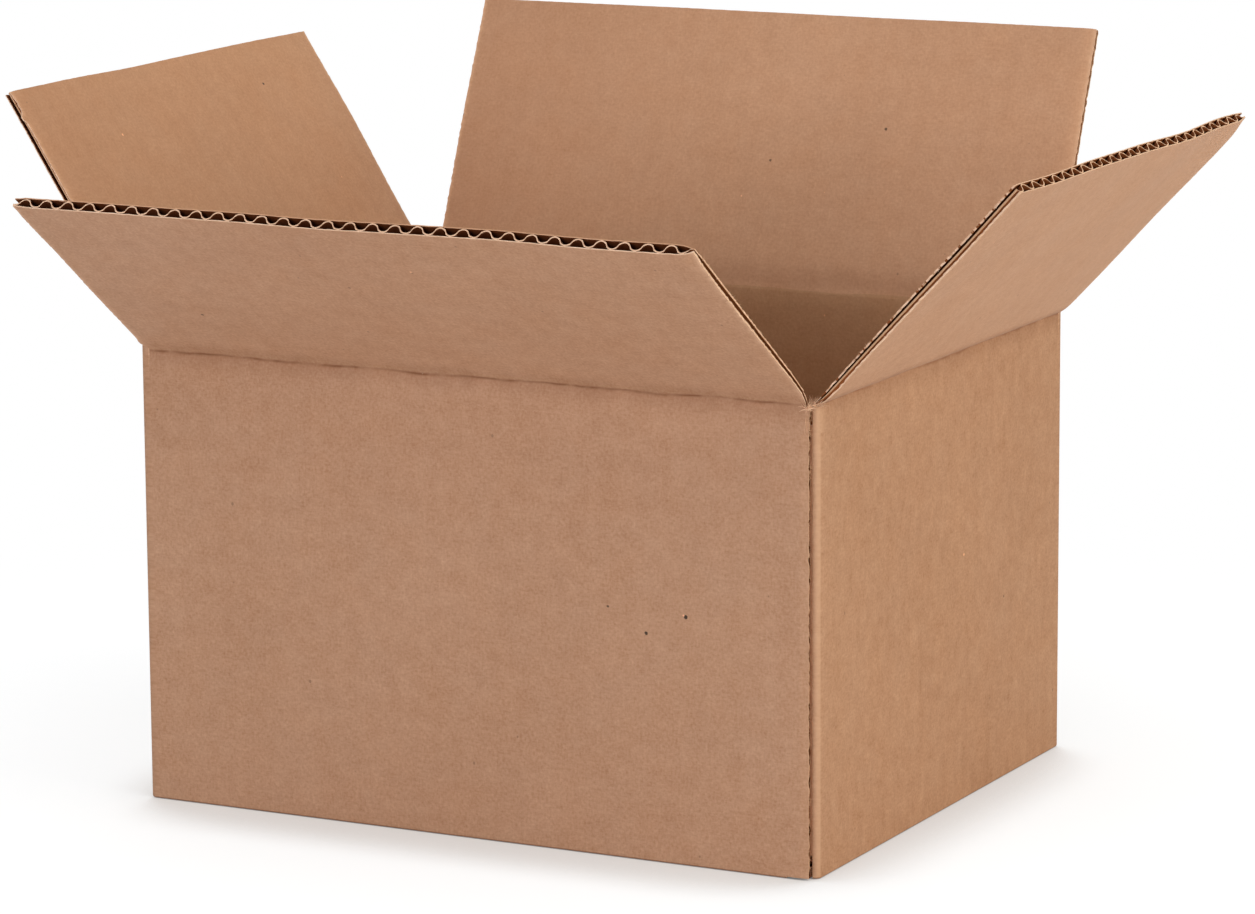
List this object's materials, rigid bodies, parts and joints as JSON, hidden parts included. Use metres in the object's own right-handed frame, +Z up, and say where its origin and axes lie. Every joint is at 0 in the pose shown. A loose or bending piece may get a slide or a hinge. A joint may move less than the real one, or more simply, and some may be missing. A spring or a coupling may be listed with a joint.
{
  "type": "corrugated box",
  "caption": "Open-topped corrugated cardboard box: a slotted, folded and glued sheet with a closed floor, fluted board edges and hinged top flaps that fold in to close it.",
  "frame": {"origin": "centre of the box's footprint, on the underside of the floor", "axes": "+X along the long walls towards the right end, +Y from the front wall to the back wall, +Z up"},
  "size_m": [0.3874, 0.3342, 0.2595],
  "materials": {
    "wall_board": "matte",
    "flap_board": "matte"
  },
  "bodies": {
    "box_body": {"box_body": "wall_board"},
    "front_flap": {"front_flap": "flap_board"},
    "right_flap": {"right_flap": "flap_board"},
    "back_flap": {"back_flap": "flap_board"},
    "left_flap": {"left_flap": "flap_board"}
  },
  "joints": [
    {"name": "front_flap_fold", "type": "hinge", "parent": "box_body", "child": "front_flap", "pos_m": [0, -0.1048, 0.1629], "axis": [-1, 0, 0], "range_deg": [-115.7, 144.3]},
    {"name": "back_flap_fold", "type": "hinge", "parent": "box_body", "child": "back_flap", "pos_m": [0, 0.1048, 0.1629], "axis": [1, 0, 0], "range_deg": [-147, 113]},
    {"name": "right_flap_fold", "type": "hinge", "parent": "box_body", "child": "right_flap", "pos_m": [0.1302, 0, 0.1594], "axis": [0, -1, 0], "range_deg": [-126.8, 133.2]},
    {"name": "left_flap_fold", "type": "hinge", "parent": "box_body", "child": "left_flap", "pos_m": [-0.1302, 0, 0.1594], "axis": [0, 1, 0], "range_deg": [-137.2, 122.8]}
  ]
}
